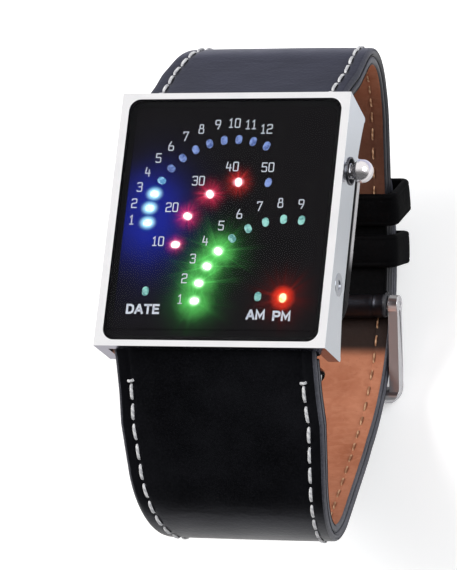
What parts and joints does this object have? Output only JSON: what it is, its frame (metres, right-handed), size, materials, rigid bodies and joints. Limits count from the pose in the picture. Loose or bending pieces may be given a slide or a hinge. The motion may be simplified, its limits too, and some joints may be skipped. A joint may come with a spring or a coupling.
{
  "type": "wristwatch",
  "caption": "Square steel wristwatch with a dark window over arcs of coloured lights, a ball pusher and a wide buckled leather strap.",
  "frame": {"origin": "centre of the outer face of the case back", "axes": "+Z out of the dial, +Y towards twelve o'clock, +X towards the pushers"},
  "size_m": [0.0417, 0.0815, 0.0613],
  "materials": {
    "case_steel": "polished",
    "pusher_steel": "polished",
    "buckle_steel": "polished",
    "glass": "dark tint",
    "gasket": "matt",
    "dial": "printed black",
    "blue_light": "clear lens",
    "red_light": "clear lens",
    "green_light": "clear lens",
    "led_chip": "clear resin",
    "board": "solder mask",
    "chip": "moulded",
    "can": "plated",
    "frame_plastic": "moulded",
    "cell": "brushed",
    "contact": "plated",
    "spring_steel": "drawn",
    "black_leather": "smooth grain",
    "tan_leather": "suede lining"
  },
  "bodies": {
    "watch": {"case_body": "case_steel", "crystal": "glass", "crystal_gasket": "gasket", "dial_plate": "dial", "hour_lenses": "blue_light", "tens_lenses": "red_light", "minute_lenses": "green_light", "status_lenses": "red_light", "hour_leds": "led_chip", "tens_leds": "led_chip", "minute_leds": "led_chip", "status_leds": "led_chip", "light_guide": "dial", "circuit_board": "board", "driver_chip": "chip", "quartz_can": "can", "capacitors": "chip", "module_frame": "frame_plastic", "battery": "cell", "battery_clip": "contact", "battery_contact": "contact", "insulator": "frame_plastic", "back_gasket": "gasket", "case_back": "case_steel", "case_back_screws": "spring_steel", "pusher_tube": "pusher_steel", "pusher_seal": "gasket", "pusher_spring": "spring_steel", "pusher_switch": "contact", "set_tube": "pusher_steel", "set_spring": "spring_steel", "set_retainer": "pusher_steel", "set_switch": "contact", "spring_bar_12": "spring_steel", "bar_spring_12": "spring_steel", "spring_bar_6": "spring_steel", "bar_spring_6": "spring_steel", "strap_12_outer": "black_leather", "strap_12_lining": "tan_leather", "strap_12_turn_back": "black_leather", "strap_6_outer": "black_leather", "strap_6_lining": "tan_leather", "fixed_keeper": "black_leather", "buckle_bar": "buckle_steel"},
    "pusher": {"ball_pusher": "pusher_steel", "pusher_clip": "pusher_steel"},
    "setter": {"set_button": "pusher_steel"},
    "tip_12": {"bar_tip_12": "spring_steel"},
    "tip_6": {"bar_tip_6": "spring_steel"},
    "buckle": {"buckle_frame": "buckle_steel"},
    "tongue": {"buckle_tongue": "buckle_steel"},
    "keeper": {"sliding_keeper": "black_leather"}
  },
  "joints": [
    {"name": "ball_press", "type": "slide", "parent": "watch", "child": "pusher", "axis": [-1, 0, 0], "range_m": [0, 0.0009], "stiffness_N_per_m": 300, "springref_m": -0.0003, "deforming": ["pusher_spring"]},
    {"name": "set_press", "type": "slide", "parent": "watch", "child": "setter", "axis": [-1, 0, 0], "range_m": [0, 0.0005], "stiffness_N_per_m": 300, "springref_m": -0.0002, "deforming": ["set_spring"]},
    {"name": "tip_12_retract", "type": "slide", "parent": "watch", "child": "tip_12", "axis": [-1, 0, 0], "range_m": [0, 0.0012], "stiffness_N_per_m": 300, "springref_m": -0.0003, "deforming": ["bar_spring_12"]},
    {"name": "tip_6_retract", "type": "slide", "parent": "watch", "child": "tip_6", "axis": [-1, 0, 0], "range_m": [0, 0.0012], "stiffness_N_per_m": 300, "springref_m": -0.0003, "deforming": ["bar_spring_6"]},
    {"name": "buckle_tilt", "type": "hinge", "parent": "watch", "child": "buckle", "pos_m": [0, 0.00272, -0.04157], "axis": [1, 0, 0], "range_deg": [0, 6]},
    {"name": "tongue_swing", "type": "hinge", "parent": "buckle", "child": "tongue", "pos_m": [0, 0.00272, -0.04157], "axis": [1, 0, 0], "range_deg": [0, 8]},
    {"name": "keeper_slide", "type": "slide", "parent": "watch", "child": "keeper", "axis": [0, 0.8027, 0.5964], "range_m": [-0.001, 0.005]}
  ]
}
